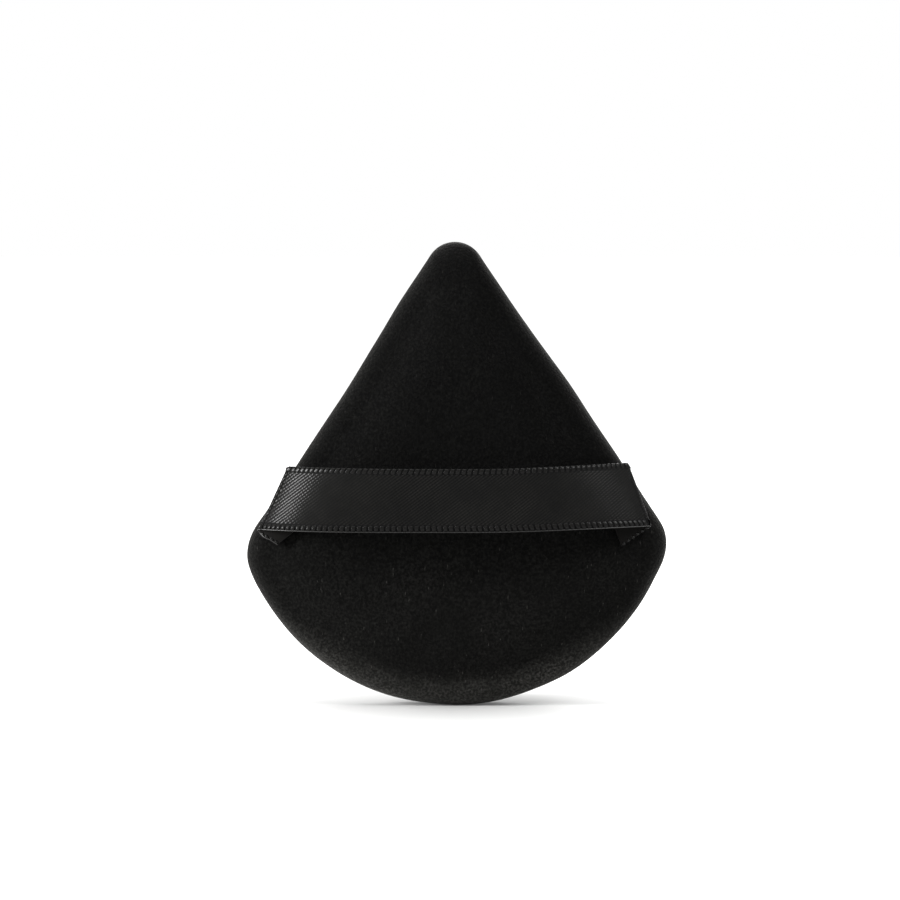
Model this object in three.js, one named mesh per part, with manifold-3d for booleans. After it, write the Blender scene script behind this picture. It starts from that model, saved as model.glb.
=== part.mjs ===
// Triangle makeup puff: a velour pad with three rounded corners, standing on its curved lower edge,
// with a loose satin ribbon across the front for the fingers.
// Lengths are millimetres. +Z is up, +X is to the right, and the ribbon faces -Y.
import * as THREE from 'three';
import { mergeVertices } from 'three/addons/utils/BufferGeometryUtils.js';
import Module from 'manifold-3d';

const wasm = await Module();
wasm.setup();

// Pad
const puffWidth = 66.5;
const puffHeight = 73.5; // from the flat foot to the top of the apex
const puffThickness = 13;
const apexRadius = 4.7;
const cornerRadius = 7.4;
const cornerHeight = 24.8; // centres of the two lower corner arcs above the foot
const footDepth = 0.5; // how much of the lower edge the foot flattens
const crownWidth = 13; // from the seam to the flat middle of each face
const crownPower = 2.6; // fullness of the rounded edge
const crownShares = [1, 0.66, 0.4, 0.22, 0.1, 0.025];
const innerCrownShares = [0.04, 0.15, 0.35, 0.65, 1];

// Covers and their seam
const coverThickness = 1.1;
const seamGap = 0.3;
const lipRadius = 0.8; // roll of each cover's edge into the seam
const lipTurns = [0, 45, 90]; // degrees
const seamAllowance = 3.5; // how far the turned-in edges reach inwards from the rim
const allowanceThickness = 0.9;
const stitchInset = 1.6;
const stitchChannelRadius = 0.45;
const seamThreadRadius = 0.2;

// Foam core
const coreClearance = 0.3;

// Ribbon
const ribbonWidth = 10;
const ribbonThickness = 0.35;
const ribbonHeight = 32.8; // middle of the ribbon above the foot
const fingerGap = 5.2; // between the pad's face and the ribbon's back, at the middle
const archPower = 2.5; // fullness of the ribbon's arch
const tailClearance = 0.3; // between the tucked end and the velour
const bendRadius = 0.65; // of the turn at each rim
const jointInset = 2.4; // from a fold to where the moving middle of the ribbon starts
const jointGap = 0.3;
const tailSeat = 0.4; // the tucked end stays as high as the pad is at this distance from the rim
const leftFoldOverhang = 0.1; // the fold's middle stands this far outside the rim
const rightFoldInset = 1; // and this far inside it
const leftFoldLean = 8.7; // degrees steeper than the rim
const rightFoldLean = 13.2;
const leftTailLength = 6.5; // tucked under, from the fold's middle
const rightTailLength = 7;

// Tacking stitches that hold each tucked end
const tackInset = 2.6; // from the fold
const tackPitch = 3;
const tackCount = 3;
const tackThreadRadius = 0.15;
const tackClearance = 0.15;
const tackCrestHeight = 0.35; // thread above the middle of the tucked end
const tackTroughDepth = 1; // thread below it, inside the cover

// Steps
const apexSteps = 8;
const sideSteps = 4;
const cornerSteps = 8;
const bottomSteps = 12;
const spanSteps = 32;
const acrossSteps = 4;
const bendSteps = 6;
const tailSteps = 6;
const threadSides = 6;
const tackSteps = 6;

// Places worked out from the sizes
const halfThickness = puffThickness / 2;
const frontReach = halfThickness + fingerGap + ribbonThickness;
const padY = (frontReach - halfThickness) / 2; // seam plane, so that the origin is midway front to back
const lipHeight = seamGap / 2 + lipRadius;
const allowanceTop = seamGap / 2 + allowanceThickness;
const slotHalfHeight = allowanceTop + coreClearance;
const coreInset = coverThickness + coreClearance;
const archHeight = halfThickness + fingerGap + ribbonThickness / 2;

// Outline of the seam, in the XZ plane: an apex arc, two straight sides, two corner arcs, a bottom arc
const apexCentre = new THREE.Vector2(0, puffHeight - apexRadius);
const cornerCentre = new THREE.Vector2(puffWidth / 2 - cornerRadius, cornerHeight);
const cornerRise = cornerHeight + footDepth;
const bottomRadius =
  (cornerCentre.x ** 2 + cornerRise ** 2 - cornerRadius ** 2) / (2 * (cornerRise - cornerRadius));
const bottomCentre = new THREE.Vector2(0, bottomRadius - footDepth);
const sideRun = cornerCentre.clone().sub(apexCentre);
const sideTwist = (apexRadius - cornerRadius) / sideRun.length();
const sideAlong = sideRun.clone().normalize();
const sideAcross = new THREE.Vector2(-sideAlong.y, sideAlong.x);
const sideNormal = sideAlong.clone().multiplyScalar(sideTwist)
  .addScaledVector(sideAcross, Math.sqrt(1 - sideTwist ** 2));
const sideOffset = sideNormal.dot(apexCentre) + apexRadius;
const sideLean = Math.atan2(sideNormal.x, sideNormal.y); // of the side, from horizontal

// Fullness of the rounded edge at a share of its width: 0 at the seam, 1 at the flat middle
function crown(share) {
  return (1 - (1 - share) ** crownPower) ** (1 / crownPower);
}

// Height of the pad's front face over the seam plane, at a distance in from the rim
function padHeight(depth) {
  const share = THREE.MathUtils.clamp(depth / crownWidth, 0, 1);
  return lipHeight + (halfThickness - lipHeight) * crown(share);
}

// Distance in from the straight side of the rim
function rimDepth(x, z) {
  return sideOffset - sideNormal.x * Math.abs(x) - sideNormal.y * z;
}

// The outline moved inwards by a depth, sampled from its arcs and lines
function rimRing(depth) {
  const offset = sideOffset - depth;
  const apex = new THREE.Vector2(0, (offset - apexRadius) / sideNormal.y);
  const reach = bottomRadius - depth - cornerRadius;
  const drop = offset - cornerRadius - sideNormal.dot(bottomCentre);
  const slip = Math.sqrt(reach ** 2 - drop ** 2);
  const corner = bottomCentre.clone().addScaledVector(sideNormal, drop)
    .add(new THREE.Vector2(sideNormal.y, -sideNormal.x).multiplyScalar(slip));
  const sideTurn = sideNormal.angle();
  const bottomTurn = Math.atan2(corner.y - bottomCentre.y, corner.x - bottomCentre.x);
  const mirror = (point) => new THREE.Vector2(-point.x, point.y);
  const apexEnd = apex.clone().addScaledVector(sideNormal, apexRadius);
  const cornerStart = corner.clone().addScaledVector(sideNormal, cornerRadius);
  const arc = (centre, radius, from, to) =>
    new THREE.ArcCurve(centre.x, centre.y, radius, from, to, true);
  const runs = [
    [new THREE.LineCurve(apexEnd, cornerStart), sideSteps],
    [arc(corner, cornerRadius, sideTurn, bottomTurn), cornerSteps],
    [arc(bottomCentre, bottomRadius - depth, bottomTurn, -Math.PI - bottomTurn), bottomSteps],
    [arc(mirror(corner), cornerRadius, -Math.PI - bottomTurn, -Math.PI - sideTurn), cornerSteps],
    [new THREE.LineCurve(mirror(cornerStart), mirror(apexEnd)), sideSteps],
    [arc(apex, apexRadius, Math.PI - sideTurn, sideTurn), apexSteps],
  ];
  return runs.flatMap(([curve, steps]) =>
    Array.from({ length: steps }, (_, i) => curve.getPoint(i / steps)));
}

// A closed geometry from a grid of points, turned so that its faces point outwards
function solidFrom(points, triangles) {
  let volume = 0;
  for (const [a, b, c] of triangles) {
    volume += points[a].dot(points[b].clone().cross(points[c]));
  }
  const faces = volume < 0 ? triangles.map(([a, b, c]) => [a, c, b]) : triangles;
  const geometry = new THREE.BufferGeometry().setFromPoints(points);
  geometry.setIndex(faces.flat());
  geometry.computeVertexNormals();
  return geometry;
}

// Rings of equal length joined one after another; the ends are closed by fans, or joined to each other
function loft(rings, joined) {
  const count = rings[0].length;
  const points = rings.flat();
  const triangles = [];
  const bands = joined ? rings.length : rings.length - 1;
  for (let r = 0; r < bands; r++) {
    const here = r * count;
    const there = ((r + 1) % rings.length) * count;
    for (let i = 0; i < count; i++) {
      const next = (i + 1) % count;
      triangles.push([here + i, there + i, there + next], [here + i, there + next, here + next]);
    }
  }
  if (!joined) {
    for (const [ring, start] of [[rings[0], 0], [rings.at(-1), (rings.length - 1) * count]]) {
      const centre = ring.reduce((sum, p) => sum.add(p), new THREE.Vector3()).divideScalar(count);
      const hub = points.push(centre) - 1;
      for (let i = 0; i < count; i++) {
        const next = (i + 1) % count;
        triangles.push(start === 0 ? [hub, start + i, start + next] : [hub, start + next, start + i]);
      }
    }
  }
  return solidFrom(points, triangles);
}

// A section of [depth in from the rim, height over the seam plane] run round the outline
function runRound(section, joined) {
  return loft(section.map(([depth, height]) =>
    rimRing(depth).map((p) => new THREE.Vector3(p.x, padY - height, p.y))), joined);
}

// A thread round a list of points, with flat ends or joined end to end
function thread(path, radius, joined) {
  const along = path.map((_, i) => {
    const before = joined ? path.at(i - 1) : path[Math.max(i - 1, 0)];
    const after = joined ? path[(i + 1) % path.length] : path[Math.min(i + 1, path.length - 1)];
    return after.clone().sub(before).normalize();
  });
  const lead = new THREE.Vector3().crossVectors(path.at(-1).clone().sub(path[0]), along[0]);
  const plane = joined ? new THREE.Vector3(0, 1, 0) : lead.normalize();
  return loft(path.map((centre, i) => {
    const across = new THREE.Vector3().crossVectors(along[i], plane).normalize();
    return Array.from({ length: threadSides }, (_, k) => {
      const turn = (2 * Math.PI * k) / threadSides;
      return centre.clone().addScaledVector(plane, radius * Math.cos(turn))
        .addScaledVector(across, radius * Math.sin(turn));
    });
  }), joined);
}

// A sheet of even thickness on rows of points that lie at its middle
function sheet(rows, thickness) {
  const last = rows.length - 1;
  const width = rows[0].length;
  const faces = [1, -1].map((sign) => rows.map((row, r) => row.map((point, i) => {
    const down = rows[Math.min(r + 1, last)][i].clone().sub(rows[Math.max(r - 1, 0)][i]);
    const across = row[Math.min(i + 1, width - 1)].clone().sub(row[Math.max(i - 1, 0)]);
    const normal = down.cross(across).normalize();
    return point.clone().addScaledVector(normal, (sign * thickness) / 2);
  })));
  const rings = rows.map((_, r) => [...faces[0][r], ...[...faces[1][r]].reverse()]);
  const count = 2 * width;
  const points = rings.flat();
  const triangles = [];
  for (let r = 0; r < last; r++) {
    for (let i = 0; i < count; i++) {
      const next = (i + 1) % count;
      const here = r * count;
      const there = here + count;
      triangles.push([here + i, there + i, there + next], [here + i, there + next, here + next]);
    }
  }
  for (let i = 0; i < width - 1; i++) {
    const far = count - 1 - i;
    triangles.push([i, i + 1, far], [i + 1, far - 1, far]);
    const base = last * count;
    triangles.push([base + i, base + far, base + i + 1], [base + i + 1, base + far, base + far - 1]);
  }
  return solidFrom(points, triangles);
}

// Cuts and joins
function toSolid(geometry) {
  const bare = geometry.clone();
  bare.deleteAttribute('normal');
  bare.deleteAttribute('uv');
  const merged = mergeVertices(bare);
  return new wasm.Manifold(new wasm.Mesh({
    numProp: 3,
    vertProperties: new Float32Array(merged.attributes.position.array),
    triVerts: new Uint32Array(merged.index.array),
  }));
}

function cut(geometry, tools) {
  let solid = toSolid(geometry);
  for (const tool of tools) solid = solid.subtract(toSolid(tool));
  const mesh = solid.getMesh();
  const result = new THREE.BufferGeometry();
  result.setAttribute('position', new THREE.BufferAttribute(new Float32Array(mesh.vertProperties), 3));
  result.setIndex(new THREE.BufferAttribute(new Uint32Array(mesh.triVerts), 1));
  result.computeVertexNormals();
  return result;
}

// Half of the covers' section: out along the face, round the lip, in along the turned-in edge
// with its channel for the stitches, and back along the inner face
function coverSection() {
  const outer = crownShares.map((share) => [share * crownWidth, padHeight(share * crownWidth)]);
  const lip = lipTurns.map((degrees) => {
    const turn = THREE.MathUtils.degToRad(degrees);
    return [lipRadius * (1 - Math.cos(turn)), lipHeight - lipRadius * Math.sin(turn)];
  });
  const channel = [180, 120, 60, 0].map((degrees) => {
    const turn = THREE.MathUtils.degToRad(degrees);
    return [stitchInset + stitchChannelRadius * Math.cos(turn),
      seamGap / 2 + stitchChannelRadius * Math.sin(turn)];
  });
  const edge = [[seamAllowance, seamGap / 2], [seamAllowance, allowanceTop]];
  const innerWidth = crownWidth - coverThickness;
  const innerHeight = halfThickness - coverThickness - allowanceTop;
  const inner = [0, ...innerCrownShares].map((share) =>
    [coverThickness + share * innerWidth, allowanceTop + innerHeight * crown(share)]);
  return [...outer, ...lip, ...channel, ...edge, ...inner];
}

function coreSection() {
  const coreWidth = crownWidth - coreInset;
  const coreHeight = halfThickness - coreInset - slotHalfHeight;
  const front = [...innerCrownShares].reverse().map((share) =>
    [coreInset + share * coreWidth, slotHalfHeight + coreHeight * crown(share)]);
  const slot = [[coreInset, slotHalfHeight], [seamAllowance + coreClearance, slotHalfHeight]];
  const half = [...front, ...slot];
  return [...half, ...[...half].reverse().map(([depth, height]) => [depth, -height])];
}

// One end of the ribbon. Along the ribbon, s runs outwards from the fold's middle; t is up across it.
// The fold line leans from horizontal, and what lies past it turns back under, mirrored in that line.
function ribbonFold({ side, inset, lean, tailLength }) {
  const turn = sideLean + THREE.MathUtils.degToRad(lean);
  const out = { along: Math.sin(turn), across: Math.cos(turn) };
  const rimX = (sideOffset - sideNormal.y * ribbonHeight) / sideNormal.x;
  const foldX = rimX - inset;
  const bendStart = -bendRadius;
  const bendEnd = bendStart + Math.PI * bendRadius;
  const reach = (past, t) => (past - t * out.across) / out.along;
  // A place at a distance past the fold line and a distance along it
  const place = (past, along) => [
    side * (foldX + past * out.along - along * out.across),
    ribbonHeight + past * out.across + along * out.along,
  ];
  const tailHeight = (x, z) =>
    padHeight(Math.max(rimDepth(x, z), tailSeat)) + tailClearance + ribbonThickness / 2;
  const endHeight = (t) => {
    const along = -reach(bendStart, t) * out.across + t * out.along;
    return tailHeight(...place(bendStart, along)) + 2 * bendRadius;
  };
  const endX = (t) => side * (foldX + reach(bendStart, t));
  return { side, foldX, out, bendStart, bendEnd, reach, place, tailHeight, endHeight, endX, tailLength };
}

const folds = [
  ribbonFold({ side: -1, inset: -leftFoldOverhang, lean: leftFoldLean, tailLength: leftTailLength }),
  ribbonFold({ side: 1, inset: rightFoldInset, lean: rightFoldLean, tailLength: rightTailLength }),
];

// Height of the ribbon's arch over the seam plane
function archAt(x, t) {
  const [left, right] = folds.map((fold) => fold.endX(t));
  const share = (2 * x - left - right) / (right - left);
  const ends = folds.map((fold) => fold.endHeight(t));
  const endHeight = THREE.MathUtils.lerp(ends[0], ends[1], (share + 1) / 2);
  const fullness = 1 - Math.min(Math.abs(share), 1) ** archPower;
  return THREE.MathUtils.lerp(endHeight, archHeight, fullness);
}

const acrossPlaces = Array.from({ length: acrossSteps + 1 }, (_, i) =>
  ribbonWidth * (i / acrossSteps - 1 / 2));

function ribbonSpan() {
  const edges = folds.map((fold) => (t) =>
    fold.side * (fold.foldX + fold.reach(-jointInset - jointGap / 2, t)));
  return sheet(Array.from({ length: spanSteps + 1 }, (_, r) => acrossPlaces.map((t) => {
    const x = THREE.MathUtils.lerp(edges[0](t), edges[1](t), r / spanSteps);
    return new THREE.Vector3(x, padY - archAt(x, t), ribbonHeight + t);
  })), ribbonThickness);
}

// The fold and the tucked end: flat under the ribbon's middle, then round the bend, then back on the pad
function ribbonEnd(fold) {
  const { side, foldX, out, bendStart, bendEnd, reach, place, tailHeight, endHeight } = fold;
  const point = (s, t) => {
    const past = s * out.along + t * out.across;
    const along = -s * out.across + t * out.along;
    if (past <= bendStart) {
      const x = side * (foldX + s);
      return new THREE.Vector3(x, padY - archAt(x, t), ribbonHeight + t);
    }
    const turn = Math.min((past - bendStart) / bendRadius, Math.PI);
    const back = Math.max(past - bendEnd, 0);
    const [x, z] = place(bendRadius * (Math.sin(turn) - 1) - back, along);
    if (back > 0) return new THREE.Vector3(x, padY - tailHeight(x, z), z);
    const low = tailHeight(...place(bendStart, along));
    const high = endHeight(t);
    const height = (high + low) / 2 + ((high - low) / 2) * Math.cos(turn);
    return new THREE.Vector3(x, padY - height, z);
  };
  const rows = [];
  for (const past of [-jointInset + jointGap / 2, (-jointInset + bendStart) / 2]) {
    rows.push(acrossPlaces.map((t) => point(reach(past, t), t)));
  }
  for (let i = 0; i <= bendSteps; i++) {
    const past = THREE.MathUtils.lerp(bendStart, bendEnd, i / bendSteps);
    rows.push(acrossPlaces.map((t) => point(reach(past, t), t)));
  }
  for (let i = 1; i <= tailSteps; i++) {
    rows.push(acrossPlaces.map((t) =>
      point(THREE.MathUtils.lerp(reach(bendEnd, t), fold.tailLength, i / tailSteps), t)));
  }
  return sheet(rows, ribbonThickness);
}

// Tacking stitches: a wave along the fold that dips through the tucked end into the cover
function tackPath({ place, tailHeight }) {
  const middle = (tackCrestHeight - tackTroughDepth) / 2;
  const swing = (tackCrestHeight + tackTroughDepth) / 2;
  const total = tackCount * tackSteps;
  return Array.from({ length: total + 1 }, (_, i) => {
    const turns = i / tackSteps - tackCount / 2;
    const [x, z] = place(-tackInset, turns * tackPitch);
    const phase = i / tackSteps;
    const height = tailHeight(x, z) + middle - swing * Math.cos(2 * Math.PI * phase);
    return new THREE.Vector3(x, padY - height, z);
  });
}

// Finishes
const velour = new THREE.MeshStandardMaterial({ color: '#17171a', roughness: 0.95, metalness: 0 });
const satin = new THREE.MeshStandardMaterial({ color: '#26262b', roughness: 0.45, metalness: 0 });
const foam = new THREE.MeshStandardMaterial({ color: '#e6dfcf', roughness: 0.9, metalness: 0 });
const polyester = new THREE.MeshStandardMaterial({ color: '#121214', roughness: 0.6, metalness: 0 });

const puff = new THREE.Group();

function addPiece(name, geometry, material) {
  const mesh = new THREE.Mesh(geometry, material);
  mesh.name = name;
  puff.add(mesh);
}

// What lies under the foot's plane, to be cut from the covers
const ground = new THREE.BoxGeometry(2 * puffWidth, 4 * puffThickness, puffHeight);
ground.translate(0, padY, -puffHeight / 2);

const tackHoles = folds.map((fold) => thread(tackPath(fold), tackThreadRadius + tackClearance, false));
const coverOutline = coverSection();

addPiece('front_cover', cut(runRound(coverOutline, false), [ground, ...tackHoles]), velour);
addPiece('back_cover', cut(runRound(coverOutline.map(([d, h]) => [d, -h]), false), [ground]), velour);
addPiece('foam_core', runRound(coreSection(), false), foam);
addPiece('rim_seam_thread', thread(
  rimRing(stitchInset).map((p) => new THREE.Vector3(p.x, padY, p.y)), seamThreadRadius, true), polyester);
addPiece('ribbon_span', ribbonSpan(), satin);
['left', 'right'].forEach((name, i) => {
  addPiece(`ribbon_end_${name}`, cut(ribbonEnd(folds[i]), [tackHoles[i]]), satin);
  addPiece(`tack_thread_${name}`, thread(tackPath(folds[i]), tackThreadRadius, false), polyester);
});

export default puff;
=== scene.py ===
import math
import bpy
import numpy as np
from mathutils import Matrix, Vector, noise
from mathutils.bvhtree import BVHTree


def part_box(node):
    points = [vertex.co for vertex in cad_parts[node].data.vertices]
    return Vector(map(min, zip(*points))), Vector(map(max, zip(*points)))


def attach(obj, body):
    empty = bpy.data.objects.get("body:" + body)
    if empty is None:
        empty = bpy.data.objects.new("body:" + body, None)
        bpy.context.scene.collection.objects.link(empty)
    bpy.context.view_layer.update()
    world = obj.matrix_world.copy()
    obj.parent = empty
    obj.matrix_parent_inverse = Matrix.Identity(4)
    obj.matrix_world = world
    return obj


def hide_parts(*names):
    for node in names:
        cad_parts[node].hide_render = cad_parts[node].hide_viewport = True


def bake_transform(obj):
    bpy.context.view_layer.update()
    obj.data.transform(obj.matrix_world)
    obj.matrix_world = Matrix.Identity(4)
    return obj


# Triangle makeup puff: a black velour pad on its curved edge, with a loose satin finger ribbon.
# Sizes are millimetres; +Z is up and the ribbon faces -Y.
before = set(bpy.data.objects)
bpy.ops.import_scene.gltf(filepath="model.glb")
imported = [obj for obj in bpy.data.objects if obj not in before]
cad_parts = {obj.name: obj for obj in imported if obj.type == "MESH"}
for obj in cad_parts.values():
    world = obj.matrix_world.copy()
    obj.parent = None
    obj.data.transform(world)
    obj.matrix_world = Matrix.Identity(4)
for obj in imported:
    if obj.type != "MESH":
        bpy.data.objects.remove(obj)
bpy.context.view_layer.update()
mm = 0.001

padLow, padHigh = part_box("front_cover")
pad = {
    "width": (padHigh.x - padLow.x) / mm,
    "height": padHigh.z / mm,
    "thickness": 13,
    "apexRadius": 4.7,
    "cornerRadius": 7.4,
    "cornerHeight": 24.8,  # centres of the lower corner arcs above the table
    "footDepth": 0.06,  # how much of the lower edge the table flattens
    "crownWidth": 13,  # from the seam to the flat middle of each face
    "crownPower": 2.6,
}
sway = {  # how far each part stands off the midline, and the heights between which that changes
    "foot": -0.45,
    "middle": 0.55,
    "apex": -0.2,
    "footToMiddle": (19, 31),
    "middleToApex": (49, 66),
}
lip = {"height": 0.95, "radius": 0.85, "gap": 0.2, "steps": 7}  # where each face rolls into the seam
halfThickness = pad["thickness"] / 2
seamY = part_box("back_cover")[1].y / mm - halfThickness


def smooth(value, low, high):
    share = np.clip((value - low) / (high - low), 0, 1)
    return share * share * (3 - 2 * share)


# Outline of the seam: an apex arc, two straight sides, two corner arcs and a bottom arc
apexCentre = np.array([0, pad["height"] - pad["apexRadius"]])
cornerCentre = np.array([pad["width"] / 2 - pad["cornerRadius"], pad["cornerHeight"]])
cornerRise = pad["cornerHeight"] + pad["footDepth"]
bottomRadius = (cornerCentre[0] ** 2 + cornerRise ** 2 - pad["cornerRadius"] ** 2) / (
    2 * (cornerRise - pad["cornerRadius"]))
bottomCentre = np.array([0, bottomRadius - pad["footDepth"]])
sideRun = cornerCentre - apexCentre
sideTwist = (pad["apexRadius"] - pad["cornerRadius"]) / np.linalg.norm(sideRun)
sideAlong = sideRun / np.linalg.norm(sideRun)
sideAcross = np.array([-sideAlong[1], sideAlong[0]])
sideNormal = sideAlong * sideTwist + sideAcross * math.sqrt(1 - sideTwist ** 2)
sideOffset = sideNormal @ apexCentre + pad["apexRadius"]
sideLean = math.atan2(sideNormal[0], sideNormal[1])
stretchLengths = {"side": 50, "corner": 9, "bottom": 80, "apex": 10}  # rough, for the numbers of steps


def crown(share):
    return (1 - (1 - share) ** pad["crownPower"]) ** (1 / pad["crownPower"])


def padHeight(depth):  # of the face over the seam plane, at a distance in from the rim
    return lip["height"] + (halfThickness - lip["height"]) * crown(np.clip(depth / pad["crownWidth"], 0, 1))


def rimDepth(x, z):
    return sideOffset - sideNormal[0] * np.abs(x) - sideNormal[1] * z


def arcPoints(centre, radius, start, end, steps):
    turns = start + (end - start) * np.arange(steps) / steps
    return np.stack([centre[0] + radius * np.cos(turns), centre[1] + radius * np.sin(turns)], 1)


def linePoints(start, end, steps):
    return start + (end - start) * np.arange(steps)[:, None] / steps


def rimRing(depth, spacing):  # the outline moved inwards, with about even steps at the rim
    offset = sideOffset - depth
    apexRadius, cornerRadius = pad["apexRadius"], pad["cornerRadius"]
    apex = np.array([0, (offset - apexRadius) / sideNormal[1]])
    reach = bottomRadius - depth - cornerRadius
    drop = offset - cornerRadius - sideNormal @ bottomCentre
    slip = math.sqrt(reach ** 2 - drop ** 2)
    corner = bottomCentre + sideNormal * drop + np.array([sideNormal[1], -sideNormal[0]]) * slip
    flip = np.array([-1, 1])
    sideTurn = math.atan2(sideNormal[1], sideNormal[0])
    bottomTurn = math.atan2(corner[1] - bottomCentre[1], corner[0] - bottomCentre[0])
    apexEnd = apex + sideNormal * apexRadius
    cornerStart = corner + sideNormal * cornerRadius
    steps = {name: round(length / spacing) for name, length in stretchLengths.items()}
    return np.concatenate([
        linePoints(apexEnd, cornerStart, steps["side"]),
        arcPoints(corner, cornerRadius, sideTurn, bottomTurn, steps["corner"]),
        arcPoints(bottomCentre, bottomRadius - depth, bottomTurn, -math.pi - bottomTurn, steps["bottom"]),
        arcPoints(corner * flip, cornerRadius, -math.pi - bottomTurn, -math.pi - sideTurn, steps["corner"]),
        linePoints(cornerStart * flip, apexEnd * flip, steps["side"]),
        arcPoints(apex, apexRadius, math.pi - sideTurn, sideTurn, steps["apex"]),
    ])


def standUp(ring, height):  # a ring of (x, z) at a height over the seam plane, towards -Y
    return np.stack([ring[:, 0], seamY - np.broadcast_to(height, len(ring)), ring[:, 1]], 1)


def swayed(points):  # the hand-sewn pad stands a little unevenly about its midline
    z = points[..., 2]
    shift = (sway["foot"] + (sway["middle"] - sway["foot"]) * smooth(z, *sway["footToMiddle"])
             + (sway["apex"] - sway["middle"]) * smooth(z, *sway["middleToApex"]))
    return points + shift[..., None] * np.array([1, 0, 0])


# Mesh helpers
def makeObject(name, points, faces, crease=180):
    mesh = bpy.data.meshes.new(name)
    mesh.from_pydata((np.asarray(points, float) * mm).tolist(), [], faces)
    mesh.validate()
    piece = bpy.data.objects.new(name, mesh)
    bpy.context.scene.collection.objects.link(piece)
    if signedVolume(points, faces) < 0:
        mesh.flip_normals()
    mesh.shade_smooth()
    if crease < 180:
        mesh.set_sharp_from_angle(angle=math.radians(crease))
    return piece


def signedVolume(points, faces):  # six times the volume; negative where the faces point inwards
    points = np.asarray(points, float)
    total = 0
    for face in faces:
        a = points[face[0]]
        for second, third in zip(face[1:-1], face[2:]):
            total += a @ np.cross(points[second], points[third])
    return total


def bandFaces(ringCount, count):  # quads between each ring of points and the next
    faces = []
    for r in range(ringCount - 1):
        here = r * count
        there = here + count
        for i in range(count):
            after = (i + 1) % count
            faces.append((here + i, here + after, there + after, there + i))
    return faces


def loft(rings):  # closed by a fan at each end
    count = len(rings[0])
    points = np.concatenate(rings + [rings[0].mean(0)[None], rings[-1].mean(0)[None]])
    faces = bandFaces(len(rings), count)
    firstHub, lastHub = len(points) - 2, len(points) - 1
    last = (len(rings) - 1) * count
    for i in range(count):
        after = (i + 1) % count
        faces.append((firstHub, after, i))
        faces.append((lastHub, last + i, last + after))
    return points, faces


def tubeRings(path, radius, sides, plane, flat=1):  # rings round a path, flattened towards the plane
    path = np.asarray(path, float)
    along = np.gradient(path, axis=0)
    along /= np.linalg.norm(along, axis=1)[:, None]
    across = np.cross(along, plane)
    across /= np.linalg.norm(across, axis=1)[:, None]
    up = np.cross(across, along)
    turns = 2 * math.pi * np.arange(sides) / sides
    radius, flat = (np.broadcast_to(value, len(path)) for value in (radius, flat))
    return [c + r * (np.cos(turns)[:, None] * u + f * np.sin(turns)[:, None] * a)
            for c, r, f, u, a in zip(path, radius, flat, up, across)]


def joinPieces(pieces):  # several (points, faces) as one
    points, faces, start = [], [], 0
    for piecePoints, pieceFaces in pieces:
        points.append(piecePoints)
        faces += [tuple(index + start for index in face) for face in pieceFaces]
        start += len(piecePoints)
    return np.concatenate(points), faces


# Materials
def hexColor(code):  # an sRGB hex value as linear colour
    channels = [int(code[i:i + 2], 16) / 255 for i in (1, 3, 5)]
    return [c / 12.92 if c <= 0.04045 else ((c + 0.055) / 1.055) ** 2.4 for c in channels] + [1]


def addNode(tree, kind, inputs=None, **settings):
    node = tree.nodes.new(kind)
    for name, value in settings.items():
        setattr(node, name, value)
    for name, value in (inputs or {}).items():
        if isinstance(value, bpy.types.NodeSocket):
            tree.links.new(value, node.inputs[name])
        else:
            node.inputs[name].default_value = value
    return node


def newMaterial(name):
    material = bpy.data.materials.new(name)
    material.use_nodes = True
    tree = material.node_tree
    tree.nodes.clear()
    return material, tree


def finishMaterial(tree, shader):
    addNode(tree, "ShaderNodeOutputMaterial", {"Surface": shader.outputs[0]})


def millimetres(tree):  # the object's own coordinates in millimetres
    place = addNode(tree, "ShaderNodeTexCoord")
    return addNode(tree, "ShaderNodeVectorMath", {0: place.outputs["Object"], 1: [1 / mm] * 3},
                   operation="MULTIPLY").outputs[0]


velour = {
    "shade": "#050505",
    "tip": "#181817",
    "paintedBloomShade": "#262624",  # painted light: paler pile where the lower edge and lower half face the light from below
    "paintedBloomTip": "#605f5c",
    "lint": "#8c8a86",
    "tuftSize": 0.4,  # mm, coarser than real pile, which wouldn't show
    "napSize": 11,  # mm, patches where the pile leans together
    "lintPitch": 0.6,  # mm
    "lintSize": 0.09,  # mm
    "lintDrop": 0.22,  # each fibre hangs some four times as long as it is wide
    "lintFrom": 0.55,  # the fibres in cells whose random value is under this are left out
    "lintShare": (0.05, 0.18),  # how much shows on the clean upper half, and on the lower half
}
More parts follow.
